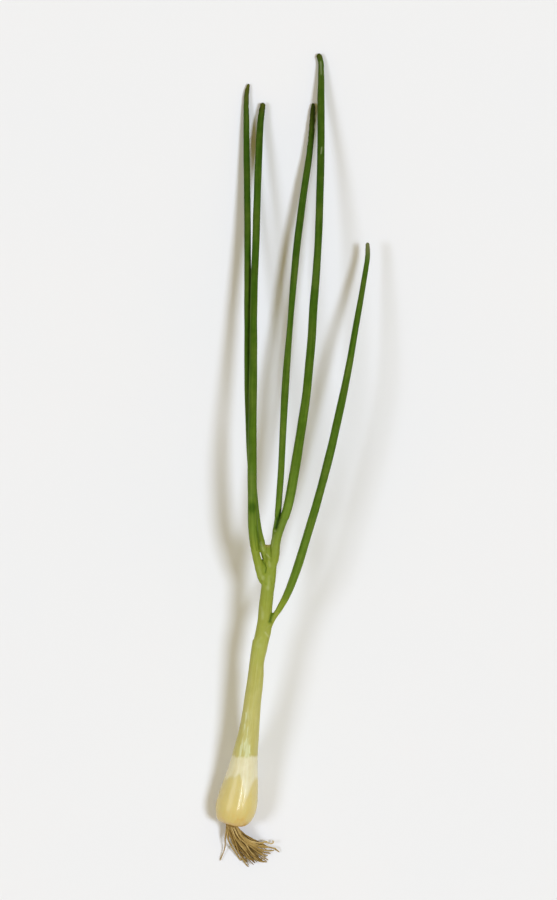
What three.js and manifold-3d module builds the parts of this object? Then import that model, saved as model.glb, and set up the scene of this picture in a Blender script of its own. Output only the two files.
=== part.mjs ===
// A spring onion lying on its side, in millimetres.
// +Y runs from the roots to the leaf tips, +X is to the right as seen from above, +Z is up.
// The plant is a shallow arch: it rests on the bulb, the roots' ends and the tips of the long leaves.

import * as THREE from "three";
import { mergeVertices } from "three/addons/utils/BufferGeometryUtils.js";
import Module from "manifold-3d";

const wasm = await Module();
wasm.setup();

// Driving dimensions.
const touchGap = 0.3;
const weldGap = 1e-4;
const stemSides = 22;
const stemRingGap = 4.5;
const leafSides = 10;
const leafRingGap = 9;
const tipAngles = [Math.PI / 5, Math.PI / 2.8];

// The roots fan out between two directions on the page, in degrees from +X, and those in the middle
// of the fan are longer by the bulge. The lean moves that bulge towards the end of the fan.
const rootCount = 26;
const rootSides = 5;
const rootSteps = 3;
const rootRingGap = 6;
const rootRadius = 0.48;
const rootTipRadius = 0.34;
const rootFan = { from: -68, to: -19, reach: 23.4, bulge: 5.6, lean: 2.2, shortest: 0.78 };
const rootKnee = { outFirst: 1.3, outLast: 3.3, dropFirst: 11.6, dropLast: 7.1, sunk: 0.6 };
const rootPile = 4;
const lengthRatio = 0.618;
const layerRatio = 0.38;

// The plate that the roots grow from narrows away from the bulb.
const plateRadius = 3.1;
const plateDepth = 2.2;
const plateSides = 14;
const plateRingGap = 0.7;
const plateNarrowing = [1, 0.95, 0.6];
const rootSpread = 0.75;
const rootStartDepth = 0.45;

const colors = { skin: 0xc6c08a, root: 0xa07c48 };
const roughness = { skin: 0.45, leaf: 0.55, root: 0.8 };

// Centreline of the bulb and the stem: x, y, z and radius at each point.
const stemRoute = [
  [-30.9, -181.2, 8.8, 3.2],
  [-29.9, -178.0, 9.2, 8.4],
  [-28.8, -174.5, 9.6, 9.8],
  [-27.7, -170.5, 10.0, 10.2],
  [-26.6, -164.9, 11.2, 9.5],
  [-25.5, -158.8, 12.9, 8.4],
  [-24.4, -151.6, 15.2, 7.1],
  [-23.2, -143.5, 17.6, 6.05],
  [-22.0, -136.5, 19.5, 5.3],
  [-20.8, -127.4, 21.6, 4.6],
  [-19.8, -118.4, 23.3, 4.2],
  [-18.4, -107.5, 25.1, 3.7],
  [-17.0, -96.0, 26.7, 3.4],
  [-16.0, -90.0, 27.4, 3.55],
  [-14.0, -79.6, 28.7, 3.5],
  [-13.5, -72.7, 29.5, 3.4],
  [-12.6, -64.8, 30.3, 3.3],
  [-12.3, -59.8, 30.8, 3.1],
  [-12.2, -55.4, 31.1, 2.5],
  [-12.1, -49.5, 31.2, 1.5],
  [-11.9, -41.4, 31.3, 1.1],
];

// The one root that hangs away from the others: x, y and z at each point.
const looseRoot = [
  [-32.0, -182.5, 8.0],
  [-33.3, -188.5, 5.0],
  [-33.3, -194.0, 2.5],
  [-36.3, -200.4, 0.8],
];

// Sheath that the two right leaves share above the fork.
const rightSheathRoute = [
  [-11.7, -64.8, 30.4, 2.1],
  [-10.4, -54.9, 31.3, 2.2],
  [-9.2, -47.0, 32.0, 2.3],
  [-8.6, -40.6, 32.5, 2.3],
  [-7.6, -35.7, 32.8, 2.0],
];

// Centrelines of the leaves. Each one starts inside the stem, and mouthY is where it leaves its sheath.
const leaves = {
  leaf_left_front: {
    mouthY: -42,
    color: 0x4f7a26,
    points: [
      [-13.7, -64.8, 30.4, 2.0],
      [-15.4, -56.9, 31.5, 2.1],
      [-17.1, -48.9, 32.8, 2.1],
      [-18.3, -44.0, 33.6, 2.15],
      [-19.3, -37.1, 34.5, 2.15],
      [-19.7, -29.2, 35.3, 2.15],
      [-19.9, -19.4, 35.8, 2.1],
      [-20.0, -4.7, 35.6, 2.1],
      [-19.9, 15.0, 33.4, 1.95],
      [-19.5, 44.6, 28.0, 1.85],
      [-19.2, 79.4, 21.0, 1.62],
      [-18.2, 111.9, 14.8, 1.45],
      [-17.2, 144.5, 8.8, 1.4],
      [-15.9, 169.8, 4.0, 1.3],
      [-14.6, 178.6, 2.0, 1.15],
    ],
  },
  leaf_left_back: {
    mouthY: -40.5,
    color: 0x466e22,
    points: [
      [-12.7, -64.8, 30.1, 1.75],
      [-12.7, -54.9, 30.7, 1.75],
      [-13.1, -48.5, 31.0, 1.75],
      [-14.2, -43.6, 31.2, 1.75],
      [-16.0, -39.1, 31.3, 1.75],
      [-17.5, -31.8, 31.5, 1.75],
      [-18.9, -20.9, 31.6, 1.75],
      [-20.2, -5.7, 31.0, 1.75],
      [-21.4, 15.0, 28.8, 1.7],
      [-22.1, 39.7, 24.8, 1.68],
      [-22.3, 74.5, 18.2, 1.6],
      [-22.4, 109.5, 11.8, 1.5],
      [-22.8, 144.7, 6.2, 1.4],
      [-23.1, 169.9, 3.1, 1.28],
      [-23.1, 181.5, 1.7, 1.05],
      [-22.1, 188.0, 1.1, 0.85],
    ],
  },
  leaf_right: {
    mouthY: -28.5,
    color: 0x4c7824,
    points: [
      [-8.7, -41.6, 32.5, 2.2],
      [-7.4, -37.1, 32.9, 2.1],
      [-4.7, -29.8, 33.8, 1.95],
      [-2.4, -22.4, 34.5, 2.05],
      [0.1, -9.6, 34.9, 2.2],
      [3.3, 10.1, 34.0, 2.05],
      [6.3, 29.8, 31.6, 1.95],
      [8.8, 54.4, 28.2, 1.9],
      [10.5, 79.2, 24.6, 1.85],
      [12.4, 104.1, 20.8, 1.65],
      [13.4, 129.1, 16.6, 1.55],
      [14.1, 159.3, 10.4, 1.5],
      [14.1, 182.2, 5.2, 1.45],
      [14.2, 194.9, 2.6, 1.2],
      [13.1, 202.6, 1.2, 1.1],
    ],
  },
  leaf_inner_right: {
    mouthY: -27,
    color: 0x42651f,
    points: [
      [-9.1, -41.6, 32.2, 1.5],
      [-8.7, -35.7, 32.1, 1.5],
      [-7.7, -29.8, 31.9, 1.4],
      [-6.9, -20.9, 31.3, 1.38],
      [-5.9, -7.2, 29.8, 1.42],
      [-4.8, 15.0, 26.4, 1.5],
      [-3.4, 39.8, 21.9, 1.6],
      [-1.2, 68.6, 17.2, 1.3],
      [1.3, 98.5, 12.9, 1.58],
      [5.0, 129.6, 8.6, 1.55],
      [8.3, 152.3, 5.3, 1.38],
      [9.8, 168.9, 3.0, 1.2],
      [10.3, 178.5, 1.2, 1.05],
    ],
  },
  leaf_low_right: {
    mouthY: -73.5,
    color: 0x55802b,
    points: [
      [-14.7, -94.5, 27.2, 1.3],
      [-13.2, -87.5, 27.9, 1.4],
      [-11.7, -82.1, 28.4, 1.45],
      [-9.8, -77.9, 28.7, 1.42],
      [-7.1, -73.9, 28.9, 1.42],
      [-4.2, -68.8, 29.1, 1.62],
      [-0.9, -61.4, 29.2, 1.85],
      [3.4, -49.0, 29.1, 2.0],
      [9.4, -29.3, 28.8, 1.9],
      [15.0, -9.6, 29.0, 1.9],
      [19.9, 10.1, 28.9, 1.9],
      [24.3, 29.8, 27.8, 1.78],
      [28.3, 49.6, 25.0, 1.5],
      [31.8, 69.5, 20.6, 1.38],
      [35.4, 89.5, 15.2, 1.2],
      [37.3, 102.0, 12.4, 1.08],
      [37.2, 108.3, 11.4, 0.95],
    ],
  },
};

// A route is a smooth curve through the points, with the radius as a smooth function of the length.
function makeRoute(points) {
  const curve = new THREE.CatmullRomCurve3(points.map((p) => new THREE.Vector3(p[0], p[1], p[2])));
  const stepsBetweenPoints = 24;
  curve.arcLengthDivisions = (points.length - 1) * stepsBetweenPoints;
  const lengths = curve.getLengths();
  const stations = points.map((p, i) => lengths[i * stepsBetweenPoints]);
  const radius = new THREE.CubicInterpolant(stations, points.map((p) => p[3]), 1, [0]);
  return { curve, stations, length: curve.getLength(), radiusAt: (s) => radius.evaluate(s)[0] };
}

// Length along a route at which it reaches the height y on the page.
function lengthAtY(route, y) {
  const steps = 2000;
  let best = 0;
  for (let i = 0; i <= steps; i += 1) {
    if (route.curve.getPointAt(i / steps).y < y) {
      best = (route.length * i) / steps;
    }
  }
  return best;
}

// A solid of revolution bent along its route, from one length to another, with at least two rings
// between neighbouring points. The end at the route's tip is rounded, and every other end is flat.
function tube(route, from, to, sides, ringGap) {
  const hasTip = to >= route.length;
  const tipReach = hasTip ? route.radiusAt(route.length) : 0;
  const last = to - tipReach;
  const profile = [new THREE.Vector2(0, from), new THREE.Vector2(route.radiusAt(from), from)];
  const margin = ringGap / 4;
  for (let i = 1; i < route.stations.length; i += 1) {
    const span = route.stations[i] - route.stations[i - 1];
    const rings = Math.max(2, Math.round(span / ringGap));
    for (let k = 1; k <= rings; k += 1) {
      const s = route.stations[i - 1] + (span * k) / rings;
      if (s > from + margin && s < last - margin) {
        profile.push(new THREE.Vector2(route.radiusAt(s), s));
      }
    }
  }
  profile.push(new THREE.Vector2(route.radiusAt(last), last));
  if (hasTip) {
    for (const angle of tipAngles) {
      const s = last + tipReach * Math.sin(angle);
      profile.push(new THREE.Vector2(route.radiusAt(s) * Math.cos(angle), s));
    }
  }
  profile.push(new THREE.Vector2(0, to));
  return bend(new THREE.LatheGeometry(profile, sides), route);
}

// Carries a geometry built round the Y axis on to the route, with its Z axis kept upwards.
function bend(geometry, route) {
  const position = geometry.attributes.position;
  const worldUp = new THREE.Vector3(0, 0, 1);
  for (let i = 0; i < position.count; i += 1) {
    const u = THREE.MathUtils.clamp(position.getY(i) / route.length, 0, 1);
    const along = route.curve.getTangentAt(u);
    const side = new THREE.Vector3().crossVectors(along, worldUp).normalize();
    const up = new THREE.Vector3().crossVectors(side, along);
    const point = route.curve.getPointAt(u);
    point.addScaledVector(side, position.getX(i));
    point.addScaledVector(up, position.getZ(i));
    position.setXYZ(i, point.x, point.y, point.z);
  }
  return geometry;
}

// Closed surface with shared corners and without the empty triangles at the poles.
function weld(geometry) {
  geometry.deleteAttribute("normal");
  geometry.deleteAttribute("uv");
  const merged = mergeVertices(geometry, weldGap);
  const index = merged.index.array;
  const kept = [];
  for (let i = 0; i < index.length; i += 3) {
    const [a, b, c] = [index[i], index[i + 1], index[i + 2]];
    if (a !== b && b !== c && c !== a) {
      kept.push(a, b, c);
    }
  }
  merged.setIndex(kept);
  return merged;
}

function toSolid(geometry) {
  const welded = weld(geometry);
  return new wasm.Manifold(
    new wasm.Mesh({
      numProp: 3,
      vertProperties: new Float32Array(welded.attributes.position.array),
      triVerts: new Uint32Array(welded.index.array),
    }),
  );
}

function toGeometry(solid) {
  const mesh = solid.getMesh();
  const geometry = new THREE.BufferGeometry();
  geometry.setAttribute("position", new THREE.BufferAttribute(mesh.vertProperties, 3));
  geometry.setIndex(new THREE.BufferAttribute(mesh.triVerts, 1));
  geometry.computeVertexNormals();
  return geometry;
}

// Everything below the surface that the plant lies on is cut away, which leaves small flat spots.
function cutAtSurface(solid) {
  const size = 500;
  const below = new THREE.BoxGeometry(size, size, size);
  below.translate(0, 0, -size / 2);
  return solid.subtract(toSolid(below));
}

function makeMesh(name, geometry, color, surface) {
  const material = new THREE.MeshStandardMaterial({ color, roughness: surface, metalness: 0 });
  const mesh = new THREE.Mesh(geometry, material);
  mesh.name = name;
  return mesh;
}

// Bulb, stem and the sheath tubes that hold the feet of the leaves.
function bulbAndStem(leafRoutes) {
  const stem = makeRoute(stemRoute);
  const sheath = makeRoute(rightSheathRoute);
  let solid = toSolid(tube(stem, 0, stem.length, stemSides, stemRingGap));
  solid = solid.add(toSolid(tube(sheath, 0, sheath.length, leafSides, stemRingGap)));
  for (const { route, mouth } of leafRoutes) {
    solid = solid.add(toSolid(tube(route, 0, mouth, leafSides, stemRingGap)));
  }
  return toGeometry(cutAtSurface(solid));
}

function leafBlade({ route, mouth }) {
  return toGeometry(cutAtSurface(toSolid(
    tube(route, mouth + touchGap, route.length, leafSides, leafRingGap),
  )));
}

// Evenly scattered number between 0 and 1 for the item with this index.
function scatter(index, ratio) {
  return (index * ratio) % 1;
}

// One root: it leaves the plate downwards on the page, sinks to the surface and sweeps to the right.
function rootPoints(index, plate) {
  const sweep = (index + 0.5) / rootCount;
  const layer = scatter(index, layerRatio);
  const start = plate.center.clone();
  start.addScaledVector(plate.side, (2 * sweep - 1) * rootSpread * plateRadius);
  start.z += (2 * layer - 1) * rootSpread * plateRadius;
  const angle = THREE.MathUtils.degToRad(THREE.MathUtils.lerp(rootFan.from, rootFan.to, sweep));
  const fullReach = rootFan.reach + rootFan.bulge * Math.sin(Math.PI * sweep ** rootFan.lean);
  const reach = fullReach * THREE.MathUtils.lerp(rootFan.shortest, 1, scatter(index, lengthRatio));
  const end = new THREE.Vector3(
    plate.center.x + reach * Math.cos(angle),
    plate.center.y + reach * Math.sin(angle),
    rootPile * layer * layer,
  );
  const knee = new THREE.Vector3(
    start.x + THREE.MathUtils.lerp(rootKnee.outFirst, rootKnee.outLast, sweep),
    start.y - THREE.MathUtils.lerp(rootKnee.dropFirst, rootKnee.dropLast, sweep),
    THREE.MathUtils.lerp(start.z, end.z, rootKnee.sunk),
  );
  return new THREE.QuadraticBezierCurve3(start, knee, end).getPoints(rootSteps);
}

// A root is never so low that the cut at the surface would leave less than half of it.
function rootTube(points) {
  const lowest = rootTipRadius / 2;
  const route = makeRoute(points.map((p, i) => [
    p.x,
    p.y,
    Math.max(p.z, lowest),
    THREE.MathUtils.lerp(rootRadius, rootTipRadius, i / (points.length - 1)),
  ]));
  return toSolid(tube(route, 0, route.length, rootSides, rootRingGap));
}

// The plate that the roots grow from lies against the foot of the bulb.
function roots() {
  const foot = new THREE.Vector3(stemRoute[0][0], stemRoute[0][1], stemRoute[0][2]);
  const next = new THREE.Vector3(stemRoute[1][0], stemRoute[1][1], stemRoute[1][2]);
  const axis = new THREE.Vector3().subVectors(foot, next).normalize();
  const top = foot.clone().addScaledVector(axis, touchGap);
  const plateRoute = makeRoute(plateNarrowing.map((share, i) => {
    const level = top.clone().addScaledVector(axis, (plateDepth * i) / (plateNarrowing.length - 1));
    return [level.x, level.y, level.z, plateRadius * share];
  }));
  const flatEnd = plateRoute.length - weldGap;
  let solid = toSolid(tube(plateRoute, 0, flatEnd, plateSides, plateRingGap));
  const side = new THREE.Vector3().crossVectors(new THREE.Vector3(0, 0, 1), axis).normalize();
  const plate = { center: top.clone().addScaledVector(axis, plateDepth * rootStartDepth), side };
  for (let i = 0; i < rootCount; i += 1) {
    solid = solid.add(rootTube(rootPoints(i, plate)));
  }
  solid = solid.add(rootTube(looseRoot.map((p) => new THREE.Vector3(p[0], p[1], p[2]))));
  return toGeometry(cutAtSurface(solid));
}

const leafRoutes = Object.entries(leaves).map(([name, leaf]) => {
  const route = makeRoute(leaf.points);
  return { name, color: leaf.color, route, mouth: lengthAtY(route, leaf.mouthY) };
});

const springOnion = new THREE.Group();
springOnion.add(makeMesh("bulb_and_stem", bulbAndStem(leafRoutes), colors.skin, roughness.skin));
for (const leaf of leafRoutes) {
  springOnion.add(makeMesh(leaf.name, leafBlade(leaf), leaf.color, roughness.leaf));
}
springOnion.add(makeMesh("roots", roots(), colors.root, roughness.root));

export default springOnion;
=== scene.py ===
# A spring onion lying on pale paper, seen from straight above.
# Lengths are in millimetres, as in the model, unless a note says metres, and become metres on use.

import math
import random

import bmesh
import bpy
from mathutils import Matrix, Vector, noise
from mathutils.kdtree import KDTree


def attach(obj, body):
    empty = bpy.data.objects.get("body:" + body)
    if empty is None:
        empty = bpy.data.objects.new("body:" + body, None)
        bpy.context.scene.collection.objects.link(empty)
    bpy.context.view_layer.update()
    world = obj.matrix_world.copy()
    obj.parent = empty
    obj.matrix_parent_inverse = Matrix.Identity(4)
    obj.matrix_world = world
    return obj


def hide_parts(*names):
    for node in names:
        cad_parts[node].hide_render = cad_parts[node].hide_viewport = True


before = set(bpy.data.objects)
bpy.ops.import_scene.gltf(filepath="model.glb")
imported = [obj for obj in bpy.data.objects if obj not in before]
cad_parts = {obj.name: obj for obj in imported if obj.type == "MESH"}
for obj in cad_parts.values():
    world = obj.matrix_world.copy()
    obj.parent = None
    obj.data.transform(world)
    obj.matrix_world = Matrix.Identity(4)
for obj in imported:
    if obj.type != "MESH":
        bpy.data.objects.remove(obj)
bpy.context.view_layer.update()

mm = 0.001
worldUp = Vector((0, 0, 1))


# Colours are chosen as they look on screen, so they are turned into linear light here.
def screenColor(red, green, blue):
    values = []
    for value in (red, green, blue):
        part = value / 255
        values.append(part / 12.92 if part <= 0.04045 else ((part + 0.055) / 1.055) ** 2.4)
    return (*values, 1)


def smoothStep(low, high, value):
    part = min(max((value - low) / (high - low), 0), 1)
    return part * part * (3 - 2 * part)


# A bump of height 1 where the gap is 0, gone at about twice the width.
def bell(gap, width):
    return math.exp(-((gap / width) ** 2))


# Routes

# A route runs smoothly through points of x, y, z and radius, all in millimetres.
def makeRoute(points):
    knots = [Vector(point) for point in points]
    stations = [0.0]
    for before, after in zip(knots, knots[1:]):
        stations.append(stations[-1] + (after.xyz - before.xyz).length)
    slopes = []
    last = len(knots) - 1
    for index in range(len(knots)):
        low, high = max(index - 1, 0), min(index + 1, last)
        slopes.append((knots[high] - knots[low]) / (stations[high] - stations[low]))
    return {"knots": knots, "stations": stations, "slopes": slopes, "length": stations[-1]}


def routeAt(route, along):
    stations = route["stations"]
    along = min(max(along, 0), route["length"])
    index = 0
    while index < len(stations) - 2 and stations[index + 1] < along:
        index += 1
    span = stations[index + 1] - stations[index]
    t = (along - stations[index]) / span
    before, after = route["knots"][index], route["knots"][index + 1]
    slopeBefore, slopeAfter = route["slopes"][index] * span, route["slopes"][index + 1] * span
    return (
        before * (2 * t**3 - 3 * t**2 + 1)
        + slopeBefore * (t**3 - 2 * t**2 + t)
        + after * (3 * t**2 - 2 * t**3)
        + slopeAfter * (t**3 - t**2)
    )


# The route's middle at a length, its direction there, and the ways to its side and up from it.
def routeFrame(route, along):
    reach = 0.2
    ahead = routeAt(route, along + reach).xyz
    behind = routeAt(route, along - reach).xyz
    direction = (ahead - behind).normalized()
    side = direction.cross(worldUp).normalized()
    return routeAt(route, along).xyz, direction, side, side.cross(direction)


# Tubes

tubeDetail = {"mergeGap": 1e-4, "tipRings": 6}


# Turns a profile of (radius, length) pairs round the Y axis into a closed skin.
def spinProfile(profile, sides):
    bm = bmesh.new()
    line = [bm.verts.new((radius, length, 0)) for radius, length in profile]
    edges = [bm.edges.new(pair) for pair in zip(line, line[1:])]
    bmesh.ops.spin(
        bm, geom=line + edges, cent=(0, 0, 0), axis=(0, 1, 0), angle=math.tau, steps=sides, use_merge=True
    )
    bmesh.ops.remove_doubles(bm, verts=bm.verts, dist=tubeDetail["mergeGap"])
    bmesh.ops.recalc_face_normals(bm, faces=bm.faces)
    return bm


# Bends a spun skin along its route and keeps each point's place on the straight tube in "grown".
def bendTube(bm, route, swell=None):
    grown = bm.verts.layers.float_vector.new("grown")
    for vert in bm.verts:
        across, length, height = vert.co
        if swell:
            factor = swell(length, math.atan2(height, across))
            across, height = across * factor, height * factor
        centre, direction, side, up = routeFrame(route, length)
        vert[grown] = Vector((across, height, length)) * mm
        vert.co = (centre + side * across + up * height) * mm


# Pairs of radius and length along a route, closed at both ends; the far end is rounded over tipReach.
def tubeProfile(route, ringGap, tipReach):
    end = route["length"]
    rings = max(2, round((end - tipReach) / ringGap))
    profile = [(0, 0)]
    for index in range(rings + 1):
        along = (end - tipReach) * index / rings
        profile.append((routeAt(route, along).w, along))
    tipRings = tubeDetail["tipRings"]
    for index in range(1, tipRings):
        angle = math.pi / 2 * index / tipRings
        along = end - tipReach + tipReach * math.sin(angle)
        profile.append((routeAt(route, along).w * math.cos(angle), along))
    profile.append((0, end))
    return profile


def addObject(name, data):
    holder = bpy.data.objects.new(name, data)
    bpy.context.collection.objects.link(holder)
    return holder


def meshFrom(name, bm):
    mesh = bpy.data.meshes.new(name)
    bm.to_mesh(mesh)
    bm.free()
    return mesh


# One finished piece of the plant, kept above the paper.
def makePiece(name, bm, material, node):
    for vert in bm.verts:
        vert.co.z = max(vert.co.z, 0)
    mesh = meshFrom(name, bm)
    for polygon in mesh.polygons:
        polygon.use_smooth = True
    mesh.materials.append(material)
    piece = addObject(name, mesh)
    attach(piece, "root")
    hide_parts(node)
    return piece


# Shader helpers

def addNode(tree, kind, **settings):
    node = tree.nodes.new(kind)
    for key, value in settings.items():
        setattr(node, key, value)
    return node


def setInputs(node, **values):
    for key, value in values.items():
        node.inputs[key].default_value = value


# Sets a socket to a fixed value, or links it to another node's output.
def feed(tree, socket, value):
    if isinstance(value, (int, float, tuple)):
        socket.default_value = value
    else:
        tree.links.new(value, socket)


def mathNode(tree, operation, first, second, clamp=False):
    node = addNode(tree, "ShaderNodeMath", operation=operation, use_clamp=clamp)
    for socket, value in zip(node.inputs, (first, second)):
        feed(tree, socket, value)
    return node.outputs[0]


def rangeNode(tree, value, low, high, toLow=0.0, toHigh=1.0, smooth=False):
    node = addNode(tree, "ShaderNodeMapRange", clamp=True)
    node.interpolation_type = "SMOOTHSTEP" if smooth else "LINEAR"
    tree.links.new(value, node.inputs[0])
    for socket, number in zip(node.inputs[1:5], (low, high, toLow, toHigh)):
        socket.default_value = number
    return node.outputs[0]


# A colour mix has its factor in socket 0, its colours in 6 and 7, and its result in output 2.
def mixColor(tree, factor, first, second, blend="MIX"):
    node = addNode(tree, "ShaderNodeMix", data_type="RGBA", blend_type=blend)
    for index, value in ((0, factor), (6, first), (7, second)):
        feed(tree, node.inputs[index], value)
    return node.outputs[2]


def wash(tree, amount, color, screenValues, blend="MIX"):
    return mixColor(tree, amount, color, screenColor(*screenValues), blend)


def attribute(tree, name, output="Fac"):
    return addNode(tree, "ShaderNodeAttribute", attribute_name=name).outputs[output]


def colorRamp(tree, value, stops):
    node = addNode(tree, "ShaderNodeValToRGB")
    ramp = node.color_ramp
    while len(ramp.elements) < len(stops):
        ramp.elements.new(1)
    for element, (place, color) in zip(ramp.elements, stops):
        element.position = place
        element.color = color
    tree.links.new(value, node.inputs[0])
    return node.outputs[0]


# A node group with its sockets made, and its nodes for what comes in and what goes out.
def newGroup(name, inputs, output):
    group = bpy.data.node_groups.new(name, "ShaderNodeTree")
    for socket, kind in inputs.items():
        group.interface.new_socket(socket, in_out="INPUT", socket_type="NodeSocket" + kind)
    group.interface.new_socket(output, in_out="OUTPUT", socket_type="NodeSocketFloat")
    return group, addNode(group, "NodeGroupInput"), addNode(group, "NodeGroupOutput")


# Noise drawn out along the plant, in the coordinates of the straight tube.
def makeStreakGroup():
    inputs = {"Vector": "Vector", "Across": "Float", "Along": "Float"}
    group, source, result = newGroup("lengthwiseStreaks", inputs, "Streak")
    scale = addNode(group, "ShaderNodeCombineXYZ")
    stretch = addNode(group, "ShaderNodeVectorMath", operation="MULTIPLY")
    texture = addNode(group, "ShaderNodeTexNoise")
    setInputs(texture, Scale=1.0, Detail=3.0, Roughness=0.55)
    for axis, name in (("X", "Across"), ("Y", "Across"), ("Z", "Along")):
        group.links.new(source.outputs[name], scale.inputs[axis])
    group.links.new(source.outputs["Vector"], stretch.inputs[0])
    group.links.new(scale.outputs[0], stretch.inputs[1])
    group.links.new(stretch.outputs[0], texture.inputs["Vector"])
    group.links.new(texture.outputs[0], result.inputs["Streak"])
    return group


# Even noise in the object's own space.
def makeMottleGroup():
    group, source, result = newGroup("softMottle", {"Scale": "Float"}, "Mottle")
    place = addNode(group, "ShaderNodeTexCoord")
    texture = addNode(group, "ShaderNodeTexNoise")
    setInputs(texture, Detail=4.0, Roughness=0.6)
    group.links.new(source.outputs["Scale"], texture.inputs["Scale"])
    group.links.new(place.outputs["Object"], texture.inputs["Vector"])
    group.links.new(texture.outputs[0], result.inputs["Mottle"])
    return group


streakGroup = makeStreakGroup()
mottleGroup = makeMottleGroup()


def streaks(tree, across, along):
    node = addNode(tree, "ShaderNodeGroup", node_tree=streakGroup)
    setInputs(node, Across=across, Along=along)
    tree.links.new(attribute(tree, "grown", "Vector"), node.inputs["Vector"])
    return node.outputs[0]


def mottle(tree, scale):
    node = addNode(tree, "ShaderNodeGroup", node_tree=mottleGroup)
    setInputs(node, Scale=scale)
    return node.outputs[0]


def newMaterial(name, specular):
    material = bpy.data.materials.new(name)
    material.use_nodes = True
    tree = material.node_tree
    shader = tree.nodes["Principled BSDF"]
    setInputs(shader, **{"Specular IOR Level": specular})
    return material, tree, shader


def addBump(tree, shader, height, strength, distance):
    bump = addNode(tree, "ShaderNodeBump")
    setInputs(bump, Strength=strength, Distance=distance)
    tree.links.new(height, bump.inputs["Height"])
    tree.links.new(bump.outputs[0], shader.inputs["Normal"])


# The plant's own colours, from the foot of the bulb to the leaf tips.

plantColors = {
    "from": -186,
    "to": 204,
    "stops": [
        (-182.5, (192, 140, 62)), (-181.4, (205, 167, 88)), (-179, (211, 186, 112)),
        (-172, (214, 196, 124)), (-165, (212, 195, 126)), (-158, (212, 198, 132)),
        (-150, (203, 193, 130)), (-145, (190, 182, 106)), (-133, (189, 182, 106)),
        (-118, (183, 179, 100)), (-105, (173, 172, 86)), (-92, (161, 167, 73)),
        (-76, (150, 158, 62)), (-60, (139, 154, 54)), (-47, (133, 148, 48)),
        (-34, (107, 131, 40)), (-20, (91, 119, 32)), (10, (80, 109, 25)),
        (45, (71, 101, 21)), (90, (61, 92, 17)), (150, (55, 85, 15)),
        (200, (60, 85, 18)),
    ],
}


def plantRamp(tree, wander):
    low, high = plantColors["from"], plantColors["to"]
    shifted = mathNode(tree, "ADD", attribute(tree, "growth"), wander)
    place = rangeNode(tree, shifted, low * mm, high * mm)
    stops = [((along - low) / (high - low), screenColor(*color)) for along, color in plantColors["stops"]]
    return colorRamp(tree, place, stops)


# The powers say how fast each colour falls away in dark tones.
shading = {
    "powers": {"Red": 1.45, "Green": 1.0, "Blue": 2.4},
    # Tones above 1 wash towards this: the skin's own pale rim and tips in places, painted glints in others.
    "paleAndGlintColor": (222, 228, 184),
    "paleAndGlintAt": (1.0, 2.0),
}


# The colour darkened or lightened by its "tone" attribute and any other value given. Dark tones turn
# greener, and tones above 1 wash towards a pale colour. The tone holds the skin's own darker and paler
# parts, and also painted shade in creases and slits and painted glints.
def shadeBy(tree, color, *factors):
    tone = attribute(tree, "tone")
    shade = mathNode(tree, "MINIMUM", tone, 1)
    for factor in factors:
        shade = mathNode(tree, "MULTIPLY", shade, factor)
    shadeColor = addNode(tree, "ShaderNodeCombineColor")
    for channel, power in shading["powers"].items():
        tree.links.new(mathNode(tree, "POWER", shade, power), shadeColor.inputs[channel])
    color = mixColor(tree, 1.0, color, shadeColor.outputs[0], "MULTIPLY")
    paleAndGlint = rangeNode(tree, tone, *shading["paleAndGlintAt"])
    return wash(tree, paleAndGlint, color, shading["paleAndGlintColor"])


# Most of a noise texture's values lie between these two.
noiseSpan = (0.3, 0.7)


def fromNoise(tree, value, spread):
    return rangeNode(tree, value, *noiseSpan, *spread)


# Distances in both looks are metres, and scales count to the metre.
leafLook = {
    "fineVeins": (2600, 30),
    "broadVeins": (760, 36),
    "broadShade": (0.8, 1.2),
    "mottleScale": 260,
    "mottleShade": (0.86, 1.14),
    "wander": (-0.006, 0.006),
    "veinColor": (38, 62, 8),
    "veinSpan": (0.42, 0.62),
    "veinDarkening": 0.16,
    "warmColor": (104, 114, 46),
    "warmScale": 70,
    "warmSpan": (0.45, 0.65),
    "warmAmount": 0.22,
    "dryColor": (80, 82, 27),
    "dryScale": 900,
    "dryEdge": (-0.25, 0.25),
    "drySpan": (0.25, 0.8),
    "dryAmount": 0.85,
    "roughness": (0.45, 0.6),
    "specular": 0.08,
    "bumpStrength": 0.35,
    "bumpDistance": 0.00006,
}


def leafMaterial():
    look = leafLook
    material, tree, shader = newMaterial("leafSkin", look["specular"])
    fine = streaks(tree, *look["fineVeins"])
    broad = streaks(tree, *look["broadVeins"])
    blotches = mottle(tree, look["mottleScale"])
    color = plantRamp(tree, fromNoise(tree, blotches, look["wander"]))
    veins = rangeNode(tree, fine, *look["veinSpan"], 0, look["veinDarkening"])
    color = wash(tree, veins, color, look["veinColor"])
    # Patches where the green turns a little towards yellow.
    warm = rangeNode(tree, mottle(tree, look["warmScale"]), *look["warmSpan"], 0, look["warmAmount"])
    color = wash(tree, warm, color, look["warmColor"])
    # The dried tip has an uneven edge.
    dry = attribute(tree, "dryness")
    edge = fromNoise(tree, mottle(tree, look["dryScale"]), look["dryEdge"])
    patch = rangeNode(tree, mathNode(tree, "ADD", dry, edge), *look["drySpan"])
    patch = mathNode(tree, "MULTIPLY", patch, mathNode(tree, "MULTIPLY", dry, look["dryAmount"]))
    color = wash(tree, patch, color, look["dryColor"])
    broadShade = fromNoise(tree, broad, look["broadShade"])
    mottleShade = fromNoise(tree, blotches, look["mottleShade"])
    color = shadeBy(tree, color, broadShade, mottleShade)
    tree.links.new(color, shader.inputs["Base Color"])
    tree.links.new(fromNoise(tree, blotches, look["roughness"]), shader.inputs["Roughness"])
    addBump(tree, shader, fine, look["bumpStrength"], look["bumpDistance"])
    return material


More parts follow.
